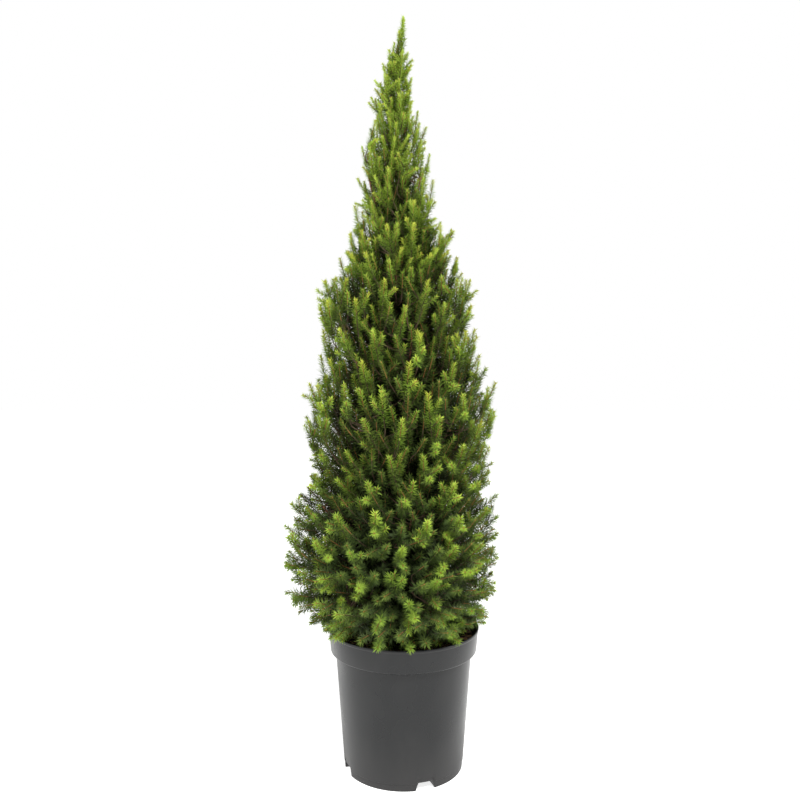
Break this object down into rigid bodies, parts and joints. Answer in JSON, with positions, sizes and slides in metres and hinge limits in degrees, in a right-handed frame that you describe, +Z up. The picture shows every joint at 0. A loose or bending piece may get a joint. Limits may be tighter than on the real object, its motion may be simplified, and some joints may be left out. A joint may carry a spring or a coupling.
{
  "type": "potted dwarf alberta spruce",
  "caption": "Slender conical dwarf spruce of dense fine needles on short boughs round a slim trunk, growing in soil in a round tapered plastic nursery pot with a collar.",
  "frame": {"origin": "middle of the pot's flat underside, where the plant stands on the ground", "axes": "+Z up along the pot's axis, -Y towards the front of the plant, +X to its right as seen from the front"},
  "size_m": [0.2964, 0.2946, 1.033],
  "materials": {
    "pot_plastic": "charcoal grey moulded polypropylene, satin and slightly dusty",
    "potting_soil": "damp dark peat, loose and matte",
    "bark": "thin scaly bark, grey brown on the trunk and orange brown on the twigs, matte",
    "needles": "fine soft needles, mid green with yellow green tips, slightly waxy"
  },
  "bodies": {
    "root": {"pot": "pot_plastic", "soil": "potting_soil", "trunk": "bark", "bough_a1": "bark", "bough_a2": "bark", "bough_a3": "bark", "bough_a4": "bark", "bough_a5": "bark", "bough_a6": "bark", "bough_b1": "bark", "bough_b2": "bark", "bough_b3": "bark", "bough_b4": "bark", "bough_b5": "bark", "bough_c1": "bark", "bough_c2": "bark", "bough_c3": "bark", "bough_c4": "bark", "bough_c5": "bark", "bough_d1": "bark", "bough_d2": "bark", "bough_d3": "bark", "bough_d4": "bark", "bough_e1": "bark", "bough_e2": "bark", "bough_e3": "bark", "bough_e4": "bark", "bough_f1": "bark", "bough_f2": "bark", "bough_f3": "bark", "foliage_a1": "needles", "foliage_a2": "needles", "foliage_a3": "needles", "foliage_a4": "needles", "foliage_a5": "needles", "foliage_a6": "needles", "foliage_b1": "needles", "foliage_b2": "needles", "foliage_b3": "needles", "foliage_b4": "needles", "foliage_b5": "needles", "foliage_c1": "needles", "foliage_c2": "needles", "foliage_c3": "needles", "foliage_c4": "needles", "foliage_c5": "needles", "foliage_d1": "needles", "foliage_d2": "needles", "foliage_d3": "needles", "foliage_d4": "needles", "foliage_e1": "needles", "foliage_e2": "needles", "foliage_e3": "needles", "foliage_e4": "needles", "foliage_f1": "needles", "foliage_f2": "needles", "foliage_f3": "needles", "foliage_g1": "needles"}
  },
  "joints": []
}
